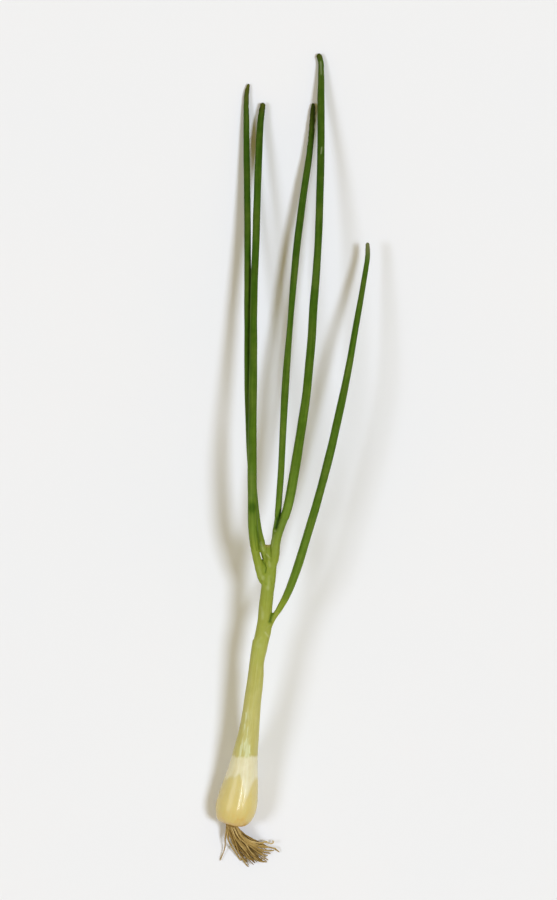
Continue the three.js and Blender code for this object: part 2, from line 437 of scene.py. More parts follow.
stemLook = {
    "fineVeins": (2200, 16),
    "paleStreaks": (760, 62),
    "blotchScale": 190,
    "wander": (-0.003, 0.003),
    "bandColor": (229, 223, 191),
    "bandSpan": (0.35, 0.6),
    "bandAmount": (0.7, 1),
    "streakColor": (211, 215, 168),
    "streakSpan": (0.42, 0.62),
    "streakAmount": (0.1, 0.9),
    "veinColor": (216, 208, 160),
    "veinSpan": (0.5, 0.7),
    "veinAmount": (0, 0.3),
    "bulbTop": (-0.158, -0.135),
    "veinsOnBulb": 0.12,
    "blotchColor": (226, 222, 190),
    "blotchAmount": (0, 0.22),
    "plateColor": (190, 140, 68),
    "membraneColor": (166, 134, 92),
    "roughness": (0.5, 0.3),
    "roughnessFrom": (-0.12, -0.155),
    "veinRoughness": (-0.04, 0.05),
    "coat": 0.4,
    "coatFrom": (-0.135, -0.16),
    "coatTones": (0.6, 0.95),
    "coatRoughness": 0.15,
    "specular": 0.2,
    "glow": {
        "Subsurface Weight": 0.2, "Subsurface Radius": (1.0, 0.8, 0.45), "Subsurface Scale": 0.0012,
    },
    "bumpStrength": 0.25,
    "bumpDistance": 0.00008,
}


def stemMaterial():
    look = stemLook
    material, tree, shader = newMaterial("bulbSkin", look["specular"])
    fine = streaks(tree, *look["fineVeins"])
    pale = streaks(tree, *look["paleStreaks"])
    blotches = mottle(tree, look["blotchScale"])
    color = plantRamp(tree, fromNoise(tree, blotches, look["wander"]))
    growth = attribute(tree, "growth")
    # The whitish band on the bulb's neck, and pale lengthwise streaks above it.
    band = attribute(tree, "paleness")
    bandAmount = rangeNode(tree, pale, *look["bandSpan"], *look["bandAmount"])
    band = mathNode(tree, "MULTIPLY", band, bandAmount, clamp=True)
    color = wash(tree, band, color, look["bandColor"])
    lines = rangeNode(tree, pale, *look["streakSpan"], *look["streakAmount"], smooth=True)
    lines = mathNode(tree, "MULTIPLY", lines, attribute(tree, "streaking"))
    color = wash(tree, lines, color, look["streakColor"])
    # Deeper yellow-green veins, hardly seen on the bulb.
    upStem = rangeNode(tree, growth, *look["bulbTop"], look["veinsOnBulb"], 1)
    veins = mathNode(tree, "MULTIPLY", rangeNode(tree, fine, *look["veinSpan"], *look["veinAmount"]), upStem)
    deep = wash(tree, 1.0, color, look["veinColor"], "MULTIPLY")
    color = mixColor(tree, veins, color, deep)
    uneven = fromNoise(tree, blotches, look["blotchAmount"])
    dull = wash(tree, 1.0, color, look["blotchColor"], "MULTIPLY")
    color = mixColor(tree, uneven, color, dull)
    # Brown round the roots, and the thin dry skin in the fork.
    for kind, colorName in (("plate", "plateColor"), ("dryness", "membraneColor")):
        color = wash(tree, attribute(tree, kind), color, look[colorName])
    tree.links.new(shadeBy(tree, color), shader.inputs["Base Color"])
    rough = rangeNode(tree, growth, *look["roughnessFrom"], *look["roughness"], smooth=True)
    rough = mathNode(tree, "ADD", rough, fromNoise(tree, fine, look["veinRoughness"]))
    tree.links.new(rough, shader.inputs["Roughness"])
    # The moist bulb has a clear coat, but not down in its folds.
    coat = rangeNode(tree, growth, *look["coatFrom"], 0.0, look["coat"], smooth=True)
    outOfFold = rangeNode(tree, attribute(tree, "tone"), *look["coatTones"])
    tree.links.new(mathNode(tree, "MULTIPLY", coat, outOfFold), shader.inputs["Coat Weight"])
    height = mathNode(tree, "MULTIPLY", fine, upStem)
    addBump(tree, shader, height, look["bumpStrength"], look["bumpDistance"])
    setInputs(shader, **look["glow"], **{"Coat Roughness": look["coatRoughness"]})
    return material


rootLook = {
    "fibres": (2600, 160),
    "stops": [
        (0.0, (74, 52, 20)), (0.3, (124, 96, 46)), (0.65, (166, 138, 78)), (1.0, (206, 182, 124)),
    ],
    "fibreShade": (-0.2, 0.2),
    "roughness": 0.75,
    "specular": 0.2,
    "bumpStrength": 0.4,
    "bumpDistance": 0.00008,
}


def rootMaterial():
    material, tree, shader = newMaterial("rootSkin", rootLook["specular"])
    fine = streaks(tree, *rootLook["fibres"])
    fibres = fromNoise(tree, fine, rootLook["fibreShade"])
    value = mathNode(tree, "ADD", attribute(tree, "tone"), fibres, clamp=True)
    stops = [(place, screenColor(*color)) for place, color in rootLook["stops"]]
    tree.links.new(colorRamp(tree, value, stops), shader.inputs["Base Color"])
    setInputs(shader, Roughness=rootLook["roughness"])
    addBump(tree, shader, fine, rootLook["bumpStrength"], rootLook["bumpDistance"])
    return material


# Bulb and stem

stem = {
    "route": [
        (-30.9, -181.2, 8.8, 3.2), (-30.6, -180.2, 8.9, 6.3), (-29.9, -178.0, 9.2, 8.6),
        (-28.8, -174.5, 9.6, 9.9), (-27.7, -170.5, 10.0, 10.15), (-26.6, -164.9, 11.2, 9.5),
        (-25.5, -158.8, 12.9, 8.4), (-24.4, -151.6, 15.2, 7.1), (-23.2, -143.5, 17.6, 6.05),
        (-22.0, -136.5, 19.5, 5.3), (-20.8, -127.4, 21.6, 4.6), (-19.8, -118.4, 23.3, 4.2),
        (-18.4, -107.5, 25.1, 3.75), (-17.0, -96.0, 26.7, 3.5), (-16.0, -90.0, 27.4, 3.55),
        (-14.0, -79.6, 28.7, 3.5), (-13.5, -72.7, 29.5, 3.4), (-12.6, -64.8, 30.3, 3.3),
        (-12.3, -59.8, 30.9, 3.15), (-12.3, -55.4, 31.3, 2.7), (-12.2, -49.5, 31.8, 1.9),
        (-12.2, -41.4, 32.0, 1.15),
    ],
    "rightSheath": [
        (-11.7, -66.8, 30.4, 2.1), (-10.5, -57.8, 31.2, 2.2), (-10.15, -52.5, 31.6, 2.25),
        (-8.95, -46.8, 32.1, 2.38), (-8.6, -41.0, 32.5, 2.35), (-7.6, -35.7, 32.8, 2.0),
    ],
    "webs": {
        "underSlit": [(-14.0, -57.0, 31.0, 1.8), (-14.2, -53.4, 31.4, 1.6), (-14.8, -48.9, 31.8, 1.0)],
        "overSlit": [(-16.4, -40.5, 32.2, 0.9), (-16.5, -42.8, 32.1, 0.8), (-16.6, -45.0, 32.0, 0.55)],
    },
    "stubs": {
        "leaf_left_front": [
            (-14.1, -60.4, 30.7, 1.6), (-15.3, -57.4, 31.4, 2.15), (-16.4, -53.4, 32.0, 2.15),
            (-17.5, -48.9, 32.8, 2.1), (-18.4, -45.0, 33.4, 2.0),
        ],
        "leaf_left_back": [
            (-12.7, -64.8, 30.1, 1.75), (-12.7, -54.9, 30.7, 1.75), (-13.0, -48.7, 31.0, 1.75),
            (-14.6, -44.2, 31.2, 1.75),
        ],
        "leaf_right": [(-8.7, -41.6, 32.5, 2.2), (-7.4, -37.1, 32.9, 2.1), (-5.6, -32.0, 33.5, 2.0)],
        "leaf_inner_right": [
            (-9.1, -41.6, 32.2, 1.5), (-8.7, -35.7, 32.1, 1.5), (-7.9, -30.6, 31.9, 1.42),
        ],
        "leaf_low_right": [
            (-14.7, -94.5, 27.2, 1.3), (-13.2, -87.5, 27.9, 1.4), (-11.7, -82.1, 28.4, 1.45),
            (-9.8, -77.9, 28.7, 1.42),
        ],
    },
    "stubReach": 4.5,
    "stubNarrowing": 0.8,
    "sides": 72,
    "branchSides": 36,
    "ringGap": 0.6,
    "tipReach": 0.3,
    "voxel": 0.33,
    "smoothing": {"rounds": 7, "share": 0.5},
    "searchStep": 0.5,
    "stemPreferred": 0.25,  # where a point is nearly as close to another tube
    "nearAxis": 0.1,
    "branchShift": (0.8, 1.7),
    # The outer sheath ends in a slanting edge, at one height on the left and another on the right.
    "sheathEdge": {
        "left": -88.3, "right": -79.0, "sharpness": 0.45, "fadedOut": -128,
        "stepOnTop": 0.06, "stepAtSide": 0.45, "sideFrom": (0.3, 0.85),
        "rimTone": 0.06, "rimOnTop": 0.3, "rimBelow": 0.7, "rimWidth": 0.6,
    },
    "wrinkles": {
        "from": -68, "fadeIn": 8, "to": -36, "fadeOut": 6, "depth": 0.32, "across": 0.75, "along": 0.3,
    },
    # The whitish band's foot drops in one place and rises in another. Where it drops, right of the top
    # beside the bulb's highlight, the white is partly the skin's own colour and partly painted sheen.
    "band": {
        "top": -146.5, "topEdge": (0.8, 1.0), "topWobble": 1.3,
        "foot": -157.6, "footEdge": 1.3, "footWobble": 1.5,
        "drop": 8.5, "dropAt": 0.4, "dropWidth": 0.26, "dropSoftness": 0.4,
        "rise": 2.2, "riseAt": -0.25, "riseWidth": 0.22,
        "leftAmount": 0.86, "fullFrom": (-0.5, 0.3),
        "wobble": (5.5, 0.5), "seed": 2.7,
    },
    "forkSkin": {"at": (-12.2, -41.6, 32.0), "inner": 0.7, "outer": 2.4, "amount": 0.5},
    "plate": {"inner": 2.6, "outer": 3.5, "wander": 0.4, "wanderScale": 1.3},
    # Places where the outline swells or draws in: the bulb's lower left corner and the stem's right side.
    "swellings": [
        {"at": (-37.5, -180.0, 9.0), "reach": 6.0, "push": 1.0},
        {"at": (-14.0, -100.0, 26.0), "reach": 7.0, "push": -0.5},
        {"at": (-14.8, -112.0, 24.0), "reach": 7.0, "push": 0.15},
    ],
}

# Marks that show from above, at x and y. Folds are lines pressed into the skin, or raised where the
# depth is negative. A tone under 1 is darker, and one over 1 is paler. The dark folds are painted
# shade: between the two left leaves, in the creases by the slit, in the slit between the right leaves
# and in the low leaf's axil. The pale folds are painted glints on the fork's wrinkles, the stem and
# the leaves.
# Folds: points of the line, width, depth, tone.
folds = [
    ([(-18.1, -32.1), (-17.3, -38.0), (-16.6, -43.6)], 0.4, 0, 0.66),
    ([(-14.9, -48.9), (-13.9, -51.0), (-13.2, -52.8), (-13.7, -55.0)], 0.4, 0.4, 0.64),
    ([(-5.9, -24.8), (-7.4, -28.8), (-8.5, -33.0)], 0.8, 0.4, 0.3),
    ([(-10.3, -75.8), (-11.2, -79.4)], 0.8, 0.3, 0.48),
    ([(-12.9, -46.2), (-11.2, -47.9)], 0.5, -0.2, 1.18),
    ([(-11.7, -49.6), (-11.3, -52.0)], 0.8, -0.12, 1.12),
    ([(-13.8, -46.5), (-12.6, -49.6)], 0.45, 0.22, 0.84),
    ([(-11.0, -44.5), (-10.7, -49.5)], 0.6, 0.15, 0.88),
    ([(-15.7, -40.6), (-14.3, -44.2)], 0.6, 0, 1.14),
    ([(-17.0, -52.5), (-15.6, -56.5)], 0.8, 0, 1.08),
    ([(-13.6, -84.6), (-12.4, -86.6)], 0.4, -0.1, 1.22),
    ([(14.0, 199.0), (14.3, 192.6)], 0.42, 0, 1.2),
    ([(14.4, 155.4), (14.1, 152.4)], 0.34, 0, 1.3),
    ([(9.5, 166.4), (9.3, 163.6)], 0.4, 0, 1.25),
    ([(-22.9, 172.0), (-22.8, 165.0)], 0.35, 0, 1.1),
    ([(-11.6, -57.0), (-11.9, -61.0)], 0.7, 0, 1.1),
    ([(-10.2, -42.0), (-9.4, -36.5)], 0.5, 0, 1.1),
    ([(-15.4, -72.0), (-15.2, -78.0)], 0.5, 0, 1.08),
    ([(-15.6, -87.0), (-17.4, -89.4)], 0.6, 0, 1.08),
]
# Spots: middle, half width and half length, tone.
spots = [
    # A darker patch on the front left leaf.
    ((-19.9, -23.2), (1.9, 2.9), 0.56),
    # A long paler stretch of the front left leaf, its own colour.
    ((-21.4, -7.0), (3.0, 19.0), 1.045),
    # Painted glints on the fork and stem, and one spot of painted shade among them.
    ((-14.7, -57.8), (0.9, 1.2), 1.13),
    ((-12.3, -62.7), (0.9, 1.2), 1.15),
    ((-13.4, -60.6), (0.6, 0.8), 0.88),
    ((-8.7, -34.6), (0.7, 0.6), 1.15),
    ((-16.8, -91.0), (1.6, 1.4), 1.08),
    ((-14.6, -76.0), (0.7, 2.2), 1.1),
    # A small dark nick in the edge of the right leaf.
    ((11.9, 179.6), (0.6, 0.9), 0.5),
]


def gapToLine(x, y, line):
    best = math.inf
    for (x0, y0), (x1, y1) in zip(line, line[1:]):
        run, rise = x1 - x0, y1 - y0
        t = min(max(((x - x0) * run + (y - y0) * rise) / (run * run + rise * rise), 0), 1)
        best = min(best, math.hypot(x - x0 - run * t, y - y0 - rise * t))
    return best


# Depth in millimetres and brightness that the folds and spots give a point. The brightness is mostly
# painted shade and painted glints.
def markAt(point):
    depth, tone = 0, 1
    for line, width, foldDepth, foldTone in folds:
        share = bell(gapToLine(point.x, point.y, line), width)
        depth += foldDepth * share
        tone *= 1 + (foldTone - 1) * share
    for (x, y), (width, length), spotTone in spots:
        away = math.hypot((point.x - x) / width, (point.y - y) / length)
        tone *= 1 + (spotTone - 1) * math.exp(-(away ** 4))
    return depth, tone


# Whitish band round the bulb's neck, partly painted sheen where its foot drops; turn runs from -1 at
# the left edge over the top to 1 at the right.
def bandAt(y, turn, height):
    band = stem["band"]
    wobble = noise.noise(Vector((turn * band["wobble"][0], height * band["wobble"][1], band["seed"])))
    foot = band["foot"] - band["drop"] * bell(turn - band["dropAt"], band["dropWidth"])
    foot += band["rise"] * bell(turn - band["riseAt"], band["riseWidth"])
    soft = band["footEdge"] + band["dropSoftness"] * max(band["foot"] - foot, 0)
    top = band["top"] + band["topWobble"] * wobble
    below, above = band["topEdge"]
    risen = smoothStep(foot - soft, foot + soft, y + band["footWobble"] * wobble)
    amount = band["leftAmount"] + (1 - band["leftAmount"]) * smoothStep(*band["fullFrom"], turn)
    return risen * (1 - smoothStep(top - below, top + above, y)) * amount


# Middle and reach of the streaks are turns, as a value at the band and what is added higher up.
paleStreaks = {
    "lines": [
        [(-23.1, -124.6), (-23.0, -129.4)],
        [(-21.4, -135.8), (-21.3, -144.6)],
        [(-23.6, -130.4), (-23.8, -137.0), (-24.2, -145.0)],
        [(-25.6, -140.6), (-26.0, -145.4)],
        [(-22.3, -131.5), (-22.2, -136.0)],
    ],
    "lineWidth": 0.38,
    "lineAmount": 1.5,
    "lineTurn": 0.9,
    "height": 25,
    "middle": (-0.06, -0.28),
    "reach": (0.5, -0.2),
    "sideFade": (0.5, 1.3),
    "footFade": (-0.06, 0.02),
    "topFade": (0.5, 1.25),
    "faint": 0.14,
    "faintFade": (-100, -84),
}


# Pale streaks run up from the band on the left of the stem's upper side and narrow as they go.
def streakingAt(point, turn):
    facts = paleStreaks
    risen = (point.y - stem["band"]["top"]) / facts["height"]
    middle, reach = (low + more * risen for low, more in (facts["middle"], facts["reach"]))
    inner, outer = facts["sideFade"]
    area = 1 - smoothStep(reach * inner, reach * outer, abs(turn - middle))
    area *= smoothStep(*facts["footFade"], risen) * (1 - smoothStep(*facts["topFade"], risen))
    faint = facts["faint"] * (1 - smoothStep(*facts["faintFade"], point.y))
    amount = max(area, faint)
    if 0 <= risen <= 1 and abs(turn) < facts["lineTurn"]:
        gap = min(gapToLine(point.x, point.y, line) for line in facts["lines"])
        amount = max(amount, facts["lineAmount"] * bell(gap, facts["lineWidth"]))
    return amount


# How far the outer sheath lifts the skin, and how much brighter its rim is.
def sheathAt(y, turn):
    edge = stem["sheathEdge"]
    level = edge["left"] + (edge["right"] - edge["left"]) * (0.5 + 0.5 * turn)
    covered = 1 - smoothStep(level - edge["sharpness"], level + edge["sharpness"], y)
    settled = smoothStep(edge["fadedOut"], level, y)
    sideways = smoothStep(*edge["sideFrom"], abs(turn))
    step = edge["stepOnTop"] + (edge["stepAtSide"] - edge["stepOnTop"]) * sideways
    rim = edge["rimTone"] * (edge["rimOnTop"] + (1 - edge["rimOnTop"]) * sideways)
    return step * covered * settled, 1 + rim * bell(y - level + edge["rimBelow"], edge["rimWidth"])


# The skin is slightly crumpled round the fork.
def wrinkleAt(point):
    wrinkles = stem["wrinkles"]
    rumpled = smoothStep(wrinkles["from"], wrinkles["from"] + wrinkles["fadeIn"], point.y)
    rumpled *= 1 - smoothStep(wrinkles["to"] - wrinkles["fadeOut"], wrinkles["to"], point.y)
    across, along = wrinkles["across"], wrinkles["along"]
    place = Vector((point.x * across, point.y * along, point.z * across))
    return wrinkles["depth"] * rumpled * noise.noise(place)


def swellingAt(point):
    push = 0
    for swelling in stem["swellings"]:
        away = (point - Vector(swelling["at"])).length
        push += swelling["push"] * (1 - smoothStep(0, swelling["reach"], away))
    return push


# The low leaf turns green sooner than the stem beside it, as if it were "lead" mm further along.
lowLeafGreen = {"lead": 32, "from": (-84, -62), "to": (-10, 70), "stemGap": (1.6, 3.2)}


# Place on the plant's colour scale, in metres.
def growthOf(point, onLowLeaf=0):
    y = point.y / mm
    lead = lowLeafGreen["lead"] * smoothStep(*lowLeafGreen["from"], y)
    lead *= 1 - smoothStep(*lowLeafGreen["to"], y)
    return (y + lead * onLowLeaf) * mm


def joinMeshes(parts):
    whole = bmesh.new()
    for part in parts:
        mesh = meshFrom("joining", part)
        whole.from_mesh(mesh)
        bpy.data.meshes.remove(mesh)
    return whole


# One even skin over all the tubes, so that the forks run into each other softly.
def wrapSkin(bm, voxel):
    mesh = meshFrom("skinSource", bm)
    source = addObject("skinSource", mesh)
    wrap = source.modifiers.new("wrap", "REMESH")
    wrap.mode = "VOXEL"
    wrap.voxel_size = voxel
    graph = bpy.context.evaluated_depsgraph_get()
    skin = bmesh.new()
    skin.from_mesh(source.evaluated_get(graph).to_mesh())
    bpy.data.objects.remove(source)
    bpy.data.meshes.remove(mesh)
    return skin


def sampledLine(route, step):
    count = int(route["length"] / step) + 1
    places = [route["length"] * index / count for index in range(count + 1)]
    return [(routeAt(route, along), along) for along in places]


def makeStem():
    lines = {"stem": stem["route"], "rightSheath": stem["rightSheath"], **stem["webs"]}
    routes = {name: makeRoute(points) for name, points in lines.items()}
    # Each sheath tube runs on a little way into its leaf and narrows there.
    for name, points in stem["stubs"].items():
        line = leafLine(name)
        past = routeAt(makeRoute(line), stem["stubReach"])
        routes[name] = makeRoute(points + [line[1], (*past.xyz, past.w * stem["stubNarrowing"])])
    parts = []
    for name, route in routes.items():
        sides = stem["sides"] if name == "stem" else stem["branchSides"]
        tube = spinProfile(tubeProfile(route, stem["ringGap"], stem["tipReach"]), sides)
        bendTube(tube, route)
        parts.append(tube)
    skin = wrapSkin(joinMeshes(parts), stem["voxel"] * mm)
    axes = {"use_axis_" + axis: True for axis in "xyz"}
    for _ in range(stem["smoothing"]["rounds"]):
        bmesh.ops.smooth_vert(skin, verts=skin.verts, factor=stem["smoothing"]["share"], **axes)
    shapeStem(skin, routes)
    return skin


# Gives a function that finds a skin point's tube and its length along it, and the low leaf's points.
def makeTubeFinder(routes):
    lines = {name: sampledLine(route, stem["searchStep"]) for name, route in routes.items()}
    trees = {}
    for name, line in lines.items():
        trees[name] = KDTree(len(line))
        for index, (knot, along) in enumerate(line):
            trees[name].insert(knot.xyz, index)
        trees[name].balance()

    def findTube(point):
        best = (math.inf, "", 0)
        for name, tree in trees.items():
            spot, index, gap = tree.find(point)
            knot, along = lines[name][index]
            score = gap - knot.w
            if name == "stem":
                score -= stem["stemPreferred"]
            if score < best[0]:
                best = (score, name, along)
        return best[1:]

    return findTube, trees["leaf_low_right"]


# Presses the details into the skin and stores what its colours follow.
def shapeStem(skin, routes):
    findTube, lowLeafTree = makeTubeFinder(routes)
    kinds = ("growth", "tone", "dryness", "plate", "paleness", "streaking")
    layers = {kind: skin.verts.layers.float.new(kind) for kind in kinds}
    grown = skin.verts.layers.float_vector.get("grown") or skin.verts.layers.float_vector.new("grown")
    foot, forkPlace = Vector(stem["route"][0][:3]), Vector(stem["forkSkin"]["at"])
    plate, forkSkin = stem["plate"], stem["forkSkin"]
    skin.normal_update()
    for vert in skin.verts:
        point, normal = vert.co / mm, vert.normal.copy()
        name, along = findTube(point)
        centre, direction, side, up = routeFrame(routes[name], along)
        offset = point - centre
        across, height = offset.dot(side), offset.dot(up)
        straight = Vector((across, height, along + offset.dot(direction)))
        if name != "stem":
            straight += Vector((*stem["branchShift"], 0))  # so that a branch's veins differ from the stem's
        vert[grown] = straight * mm
        lowLeaf = 0
        if point.x > centre.x or name == "leaf_low_right":
            lowLeaf = 1 - smoothStep(*lowLeafGreen["stemGap"], lowLeafTree.find(point)[2])
        vert[layers["growth"]] = growthOf(vert.co, lowLeaf)
        # Folds and spots on the upper side: pressed or raised skin, with painted shade and painted glints.
        depth, tone = markAt(point) if normal.z > 0 else (0, 1)
        move = normal * (swellingAt(point) + wrinkleAt(point) - depth)
        if name == "stem":
            turn = across / max(offset.length, stem["nearAxis"])
            vert[layers["paleness"]] = bandAt(point.y, turn, height)
            vert[layers["streaking"]] = streakingAt(point, turn) if height > 0 else 0
            lift, rim = sheathAt(point.y, turn)
            move += offset.normalized() * lift
            tone *= rim
        vert.co += move * mm
        vert[layers["tone"]] = tone
        footGap = (point - foot).length + plate["wander"] * noise.noise(point * plate["wanderScale"])
        vert[layers["plate"]] = 1 - smoothStep(plate["inner"], plate["outer"], footGap)
        inFork = 1 - smoothStep(forkSkin["inner"], forkSkin["outer"], (point - forkPlace).length)
        vert[layers["dryness"]] = forkSkin["amount"] * inFork


# Leaves

leaf = {
    "sunk": 2.5,  # length hidden in the sheath
    "sunkNarrowing": 0.2,
    "ringBreak": 1.0,  # a gap along the solid's points that parts two of its rings
    "tipWidth": 0.9,
    "tipRounding": 1.3,
    "kneeGap": 1.5,
    "sides": 28,
    "ringGap": 0.8,
    "fullFrom": (0.5, 0.75),  # shares of the length
    "pointFrom": (4, 0.5),  # mm before the tip
    "toneFullAt": 45,
    "ripple": {"depth": 0.07, "fadeIn": 12, "along": 0.07, "round": 0.45, "level": 0},
    "crumple": {"depth": 0.2, "fullAt": 0.3, "along": 0.9, "round": 1.6, "level": 4},
    "drift": {"amount": 0.1, "from": (20, 50), "along": 0.08, "across": 0.3},
}

# For each leaf: brightness along it and at its tip, length of the drying tip, fullness low down and
# high up, how narrow the tip's end is, how far it goes past its solid (x, y), and a noise seed.
# A knee is a sharper bend near the tip, as x, y, z and radius.
leaves = {
    "leaf_left_front": {
        "tone": 0.98, "tipTone": 0.76, "dry": 11, "full": (1.08, 1.27), "point": 0.95,
        "past": (0, 0), "seed": 3.1,
    },
    "leaf_left_back": {
        "tone": 0.88, "tipTone": 1.0, "dry": 20, "full": (1.08, 1.14), "point": 0.7,
        "past": (0.1, 0.2), "seed": 7.7,
    },
    "leaf_right": {
        "tone": 1.0, "tipTone": 0.85, "dry": 6, "full": (1.1, 1.22), "point": 1.0,
        "past": (-0.5, 0.65), "seed": 12.4, "knee": (14.15, 198.6, 2.0, 1.15),
    },
    "leaf_inner_right": {
        "tone": 1.0, "tipTone": 0.58, "dry": 34, "full": (1.13, 1.14), "point": 0.72,
        "past": (0, 0), "seed": 18.9,
    },
    "leaf_low_right": {
        "tone": 1.0, "tipTone": 1.1, "dry": 13, "full": (1.07, 1.12), "point": 0.9,
        "past": (0, 0), "seed": 25.2,
    },
}


# Middle and radius of each ring of a leaf's solid, from its foot to its tip.
def leafRings(nodeName):
    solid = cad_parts[nodeName]
    points = [solid.matrix_world @ vert.co / mm for vert in solid.data.vertices]
    points.sort(key=lambda point: point.y)
    groups = [[points[0]]]
    for before, after in zip(points, points[1:]):
        if after.y - before.y > leaf["ringBreak"]:
            groups.append([])
        groups[-1].append(after)
    rings = []
    for group in groups[:-1]:
        centre = sum(group, Vector()) / len(group)
        radius = max((point - centre).length for point in group)
        rings.append((*centre, radius))
    tip = max(points, key=lambda point: point.y)
    rings.append((*tip, rings[-1][3] * leaf["tipWidth"]))
    rings[0] = (*rings[0][:3], min(rings[0][3], rings[1][3]))
    return rings


# The leaf's own line goes on a little way below its solid, so that its foot is hidden in the stem.
def leafLine(nodeName):
    rings = leafRings(nodeName)
    foot, following = Vector(rings[0]), Vector(rings[1])
    direction = (foot.xyz - following.xyz).normalized()
    start = foot.xyz + direction * leaf["sunk"]
    return [(*start, foot.w)] + rings


# The leaf's line with its tip moved and its knee put in.
def leafRoute(name):
    facts = leaves[name]
    line = leafLine(name)
    tip = line.pop()
    if "knee" in facts:
        line = [knot for knot in line if knot[1] < facts["knee"][1] - leaf["kneeGap"]]
        line.append(facts["knee"])
    line.append((tip[0] + facts["past"][0], tip[1] + facts["past"][1], *tip[2:]))
    return makeRoute(line)


# Noise round a leaf and along it. Another level reads another part of the noise.
def ringNoise(seed, along, turn, pattern):
    ringPlace = Vector((math.cos(turn), math.sin(turn), 0)) * pattern["round"]
    return noise.noise(Vector((seed, along * pattern["along"], pattern["level"])) + ringPlace)


# Gives the width of a leaf's skin: slightly uneven all over, and crumpled where the tip has dried.
def leafSwell(facts, end):
    seed, dryLength, sunk = facts["seed"], facts["dry"], leaf["sunk"]
    ripple, crumple = leaf["ripple"], leaf["crumple"]
    low, high = facts["full"]
    fullFrom, fullTo = (end * share for share in leaf["fullFrom"])
    pointFrom, pointTo = (end - gap for gap in leaf["pointFrom"])

    def swell(along, turn):
        width = low + (high - low) * smoothStep(fullFrom, fullTo, along)
        width *= 1 + (facts["point"] - 1) * smoothStep(pointFrom, pointTo, along)
        width *= 1 - leaf["sunkNarrowing"] * (1 - smoothStep(0, sunk, along))
        uneven = ripple["depth"] * smoothStep(sunk, sunk + ripple["fadeIn"], along)
        dried = crumple["depth"] * smoothStep(end - dryLength, end - dryLength * crumple["fullAt"], along)
        rippled = uneven * ringNoise(seed, along, turn, ripple)
        crumpled = dried * ringNoise(seed, along, turn, crumple)
        return width * (1 + rippled + crumpled)

    return swell


def makeLeaf(name, material):
    facts, drift = leaves[name], leaf["drift"]
    route = leafRoute(name)
    end, seed = route["length"], facts["seed"]
    profile = tubeProfile(route, leaf["ringGap"], route["knots"][-1].w * leaf["tipRounding"])
    tube = spinProfile(profile, leaf["sides"])
    bendTube(tube, route, leafSwell(facts, end))
    layers = {key: tube.verts.layers.float.new(key) for key in ("growth", "tone", "dryness")}
    grown = tube.verts.layers.float_vector["grown"]
    onLowLeaf = 1 if name == "leaf_low_right" else 0
    for vert in tube.verts:
        offset, along = vert[grown], vert[grown].z / mm
        vert[layers["growth"]] = growthOf(vert.co, onLowLeaf)
        dryness = smoothStep(end - facts["dry"], end, along)
        tone = 1 + (facts["tone"] - 1) * smoothStep(leaf["sunk"], leaf["toneFullAt"], along)
        shade = noise.noise(Vector((seed, along * drift["along"], offset.x / mm * drift["across"])))
        tone *= 1 - drift["amount"] * max(shade, 0) * smoothStep(*drift["from"], along)
        tone += (facts["tipTone"] - tone) * dryness
        # On the upper side: painted shade, painted glints and the leaves' own marks from the lists above.
        if offset.y > 0:
            tone *= markAt(vert.co / mm)[1]
        vert[layers["tone"]] = tone
        vert[layers["dryness"]] = dryness
        vert[grown] = offset + Vector((seed, 0, 0)) * mm  # gives each leaf its own veins
    return makePiece(name + "Skin", tube, material, name)


# Roots

root = {
    "seed": 41,
    "count": 72,
    "sides": 7,
    "ringGap": 0.6,
    "tipReach": 0.3,
    "radius": (0.36, 0.2),
    "scale": (0.7, 1.1),
    # The many fill roots are darker than the strands laid over them: partly their own colour, partly painted
    # shade for the gaps in the tuft.
    "tone": (0.24, 0.7),
    "strandRadius": (0.46, 0.3),
    "strandScale": (0.85, 1.1),
    "strandTone": (0.5, 0.85),
    "strandSeed": 900,
    "seedStep": 3.7,
    "lumps": {"amount": 0.3, "along": 0.7, "flat": 0.1},
    "footDepth": 0.5,
    "footSpread": (2.635, 2.24),
    "knee": {"out": 1.3, "outMore": 2.0, "down": 11.6, "downLess": 4.5, "sway": 1.2, "drop": 0.7},
    "fan": {
        "from": -68, "to": -36.5, "sway": 4,
        "reach": 22.6, "bulge": 5.2, "lean": 1.3, "share": (0.74, 0.97),
    },
    "endHeight": (0.4, 3),
    "bends": 9,
    "drift": 0.35,
    # The plate, as pairs of depth below the bulb's foot and radius.
    "plate": [(-0.4, 2.8), (0.3, 2.7), (0.9, 1.9)],
    "plateSides": 36,
    "plateRingGap": 0.3,
    "plateTone": 0.35,
}

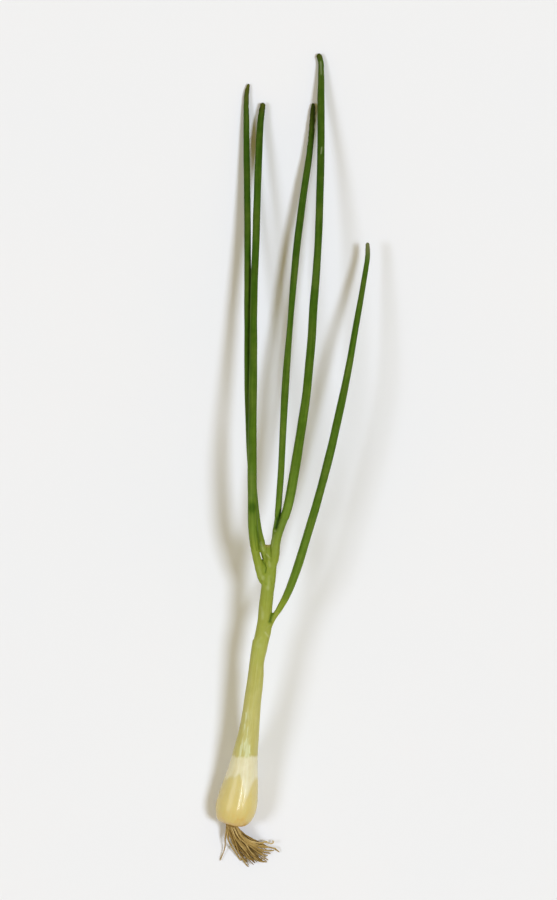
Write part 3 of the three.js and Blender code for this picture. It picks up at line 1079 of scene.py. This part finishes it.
# The roots that can be told apart from above, as points of x, y and z.
strands = [
    [(-33.0, -182.6, 8.0), (-33.6, -189.0, 5.0), (-33.9, -193.6, 2.6), (-36.2, -200.0, 0.8)],
    [(-31.7, -182.3, 10.2), (-29.7, -186.3, 8.8), (-28.2, -191.3, 6.4), (-26.9, -195.5, 4.2),
     (-24.4, -200.1, 1.9), (-22.1, -203.2, 0.5)],
    [(-32.5, -182.3, 8.2), (-32.2, -188.3, 6.0), (-30.7, -192.3, 4.4), (-28.2, -196.2, 2.6),
     (-25.7, -200.1, 0.9)],
    [(-29.7, -183.4, 11.2), (-26.5, -188.0, 9.6), (-23.75, -190.5, 7.8), (-21.5, -194.3, 5.4),
     (-18.8, -198.0, 3.0), (-16.9, -200.1, 1.2)],
    [(-28.0, -182.4, 9.5), (-26.2, -185.8, 9.0), (-22.75, -188.8, 7.2), (-18.6, -190.5, 5.6),
     (-15.3, -190.8, 4.6), (-13.3, -190.3, 4.0), (-11.5, -191.2, 3.6), (-10.1, -191.2, 3.4),
     (-9.5, -190.4, 3.4), (-10.2, -189.9, 3.5)],
    [(-28.2, -183.0, 9.6), (-24.5, -188.2, 8.6), (-22.25, -190.1, 7.4), (-16.9, -192.6, 5.2),
     (-11.3, -193.3, 3.6), (-8.8, -193.9, 2.6), (-6.6, -195.8, 1.1)],
    [(-30.2, -183.5, 9.4), (-27.0, -189.5, 7.2), (-20.8, -196.7, 3.2), (-16.9, -200.1, 1.6),
     (-12.8, -200.8, 0.7)],
    [(-28.7, -183.5, 10.2), (-24.75, -188.8, 8.2), (-18.3, -194.7, 4.6), (-14.3, -197.2, 2.6),
     (-12.3, -197.3, 2.0)],
    [(-30.7, -183.3, 10.8), (-28.2, -188.3, 8.2), (-25.7, -192.3, 5.8), (-23.3, -195.2, 4.2),
     (-20.8, -199.0, 2.1), (-19.3, -200.2, 1.0)],
    [(-28.4, -183.3, 10.6), (-24.3, -188.5, 8.7), (-20.3, -191.8, 6.2), (-15.3, -194.3, 4.0),
     (-11.3, -195.0, 2.8), (-9.3, -194.8, 2.2)],
    [(-28.3, -183.2, 9.9), (-23.9, -188.3, 8.3), (-18.6, -191.4, 5.4), (-13.6, -192.7, 3.8),
     (-9.9, -193.6, 2.3), (-8.3, -193.9, 1.6)],
    [(-29.2, -183.5, 9.0), (-24.9, -189.6, 7.0), (-19.5, -193.2, 4.4), (-14.4, -195.7, 2.4),
     (-11.0, -196.4, 1.4)],
    [(-29.8, -183.5, 9.0), (-26.1, -189.9, 6.4), (-21.7, -195.0, 3.6), (-18.0, -198.6, 1.7),
     (-15.1, -199.6, 0.8)],
]


# One root's path from its place on the plate, over a knee, to its end in the fan.
def rootPath(draw, index, centre, across):
    sweep = (index + 0.5) / root["count"]
    layer = draw.random()
    fan, knee = root["fan"], root["knee"]
    sideways, upwards = root["footSpread"]
    start = centre + across * (2 * sweep - 1) * sideways
    start.z += (2 * layer - 1) * upwards
    angle = fan["from"] + (fan["to"] - fan["from"]) * sweep + draw.uniform(-fan["sway"], fan["sway"])
    angle = math.radians(angle)
    reach = fan["reach"] + fan["bulge"] * math.sin(math.pi * sweep ** fan["lean"])
    reach *= draw.uniform(*fan["share"])
    end = centre + Vector((math.cos(angle), math.sin(angle), 0)) * reach
    lowest, more = root["endHeight"]
    end.z = lowest + more * layer * layer
    bend = Vector((
        start.x + knee["out"] + knee["outMore"] * sweep + draw.uniform(-knee["sway"], knee["sway"]),
        start.y - (knee["down"] - knee["downLess"] * sweep) + draw.uniform(-knee["sway"], knee["sway"]),
        start.z + (end.z - start.z) * knee["drop"],
    ))
    points = []
    for step in range(root["bends"] + 1):
        t = step / root["bends"]
        place = start * (1 - t) ** 2 + bend * 2 * t * (1 - t) + end * t * t
        drift = Vector([draw.uniform(-1, 1) for _ in range(3)])
        points.append(place + drift * root["drift"] * t)
    return points


def addTone(tube, shade):
    tone = tube.verts.layers.float.new("tone")
    for vert in tube.verts:
        vert[tone] = shade
    return tube


def makeRoot(path, radii, scale, seed, shade):
    thick, thin = radii
    lumps = root["lumps"]
    knots = []
    for index, place in enumerate(path):
        radius = scale * (thick + (thin - thick) * index / (len(path) - 1))
        knots.append((place.x, place.y, max(place.z, thin), radius))
    route = makeRoute(knots)
    tube = spinProfile(tubeProfile(route, root["ringGap"], root["tipReach"]), root["sides"])

    def swell(along, turn):
        lumpy = lumps["amount"] * noise.noise(Vector((seed, along * lumps["along"], 0)))
        return 1 + lumpy + lumps["flat"] * math.cos(2 * turn + along)

    bendTube(tube, route, swell)
    return addTone(tube, shade)


def makeRoots(material):
    draw = random.Random(root["seed"])
    foot, following = Vector(stem["route"][0][:3]), Vector(stem["route"][2][:3])
    axis = (foot - following).normalized()
    across = worldUp.cross(axis).normalized()
    centre = foot - axis * root["footDepth"]
    parts = []
    for index in range(root["count"]):
        path = rootPath(draw, index, centre, across)
        scale, shade = draw.uniform(*root["scale"]), draw.uniform(*root["tone"])
        parts.append(makeRoot(path, root["radius"], scale, index * root["seedStep"], shade))
    for index, points in enumerate(strands):
        path = [Vector(point) for point in points]
        path[0] -= axis
        scale, shade = draw.uniform(*root["strandScale"]), draw.uniform(*root["strandTone"])
        seed = root["strandSeed"] + index * root["seedStep"]
        parts.append(makeRoot(path, root["strandRadius"], scale, seed, shade))
    plate = makeRoute([(*(foot + axis * depth), radius) for depth, radius in root["plate"]])
    disc = spinProfile(tubeProfile(plate, root["plateRingGap"], root["tipReach"]), root["plateSides"])
    bendTube(disc, plate)
    parts.append(addTone(disc, root["plateTone"]))
    return makePiece("rootTuft", joinMeshes(parts), material, "roots")


# Surroundings

paperLook = {
    "halfSize": 3.0,
    "cloudScale": 9,
    "colors": ((0.795, 0.803, 0.806, 1), (0.805, 0.806, 0.803, 1)),
    "roughness": 0.9,
    "specular": 0,
}


def makeFloor():
    bm = bmesh.new()
    bmesh.ops.create_grid(bm, x_segments=1, y_segments=1, size=paperLook["halfSize"])
    mesh = meshFrom("paper", bm)
    material, tree, shader = newMaterial("paperSheet", paperLook["specular"])
    clouds = fromNoise(tree, mottle(tree, paperLook["cloudScale"]), (0, 1))
    tree.links.new(mixColor(tree, clouds, *paperLook["colors"]), shader.inputs["Base Color"])
    setInputs(shader, Roughness=paperLook["roughness"])
    mesh.materials.append(material)
    paper = addObject("paper", mesh)


lamps = {
    "key": {"toward": (0.42, -0.02, 0.9), "strength": 2.37, "spread": 15, "tint": (0.735, 0.815, 1.0)},
    "fill": {"toward": (-0.62, -0.06, 0.78), "strength": 1.19, "spread": 18, "tint": (0.75, 0.82, 1.0)},
}

# Small bright panels that show only as glints on the moist bulb.
glintTint = (0.85, 0.92, 1)
glints = {
    "glintTop": {"toward": (0.15, -0.3, 0.94), "strength": 0.26, "spread": 5},
    "glintMiddle": {"toward": (0.13, -0.22, 0.97), "strength": 0.24, "spread": 5},
    "glintLow": {"toward": (0.3, -0.24, 0.92), "strength": 0.26, "spread": 5},
    "glintFoot": {"toward": (0.52, -0.29, 0.8), "strength": 0.27, "spread": 5},
    "glintRight": {"toward": (0.65, -0.28, 0.71), "strength": 0.14, "spread": 6},
    "glintLeft": {"toward": (-0.67, -0.03, 0.74), "strength": 0.7, "spread": 30},
}

room = {"ambient": 0.385, "ambientTint": (1.0, 0.775, 0.285, 1), "backdrop": 0.8}


def makeSun(name, lamp, tint):
    light = bpy.data.lights.new(name, "SUN")
    light.energy = lamp["strength"]
    light.angle = math.radians(lamp["spread"])
    light.color = tint
    holder = addObject(name, light)
    holder.rotation_euler = Vector(lamp["toward"]).to_track_quat("Z", "Y").to_euler()
    return holder


def makeLights():
    for name, lamp in lamps.items():
        makeSun(name, lamp, lamp["tint"]).visible_glossy = False
    for name, panel in glints.items():
        makeSun(name, panel, glintTint).visible_diffuse = False
    world = bpy.data.worlds.new("room")
    world.use_nodes = True
    tree = world.node_tree
    light = tree.nodes["Background"]
    setInputs(light, Color=room["ambientTint"], Strength=room["ambient"])
    # Past the paper's edge the room looks plain and pale.
    wall = addNode(tree, "ShaderNodeBackground")
    setInputs(wall, Color=(1, 1, 1, 1), Strength=room["backdrop"])
    rays = addNode(tree, "ShaderNodeLightPath")
    blend = addNode(tree, "ShaderNodeMixShader")
    tree.links.new(rays.outputs["Is Camera Ray"], blend.inputs[0])
    tree.links.new(light.outputs[0], blend.inputs[1])
    tree.links.new(wall.outputs[0], blend.inputs[2])
    tree.links.new(blend.outputs[0], tree.nodes["World Output"].inputs[0])
    bpy.context.scene.world = world
    bpy.context.scene.view_settings.view_transform = "Standard"


# In metres, except the sensor, which is in millimetres as Blender has it.
view = {"height": 2.0, "middle": (-0.00705, 0.00515), "frameHeight": 0.45, "farthest": 20, "sensor": 24}


def makeCamera():
    camera = bpy.data.cameras.new("overhead")
    camera.sensor_fit = "VERTICAL"
    camera.sensor_height = view["sensor"]
    camera.lens = view["sensor"] * view["height"] / view["frameHeight"]
    camera.clip_end = view["farthest"]
    holder = addObject("overhead", camera)
    holder.location = (*view["middle"], view["height"])
    bpy.context.scene.camera = holder


makeCamera()
makeLights()
makeFloor()
print("room ready")

green = leafMaterial()
pale = stemMaterial()
makePiece("bulbAndStemSkin", makeStem(), pale, "bulb_and_stem")
print("bulb and stem ready")
for name in leaves:
    makeLeaf(name, green)
print("leaves ready")
makeRoots(rootMaterial())
print("roots ready")
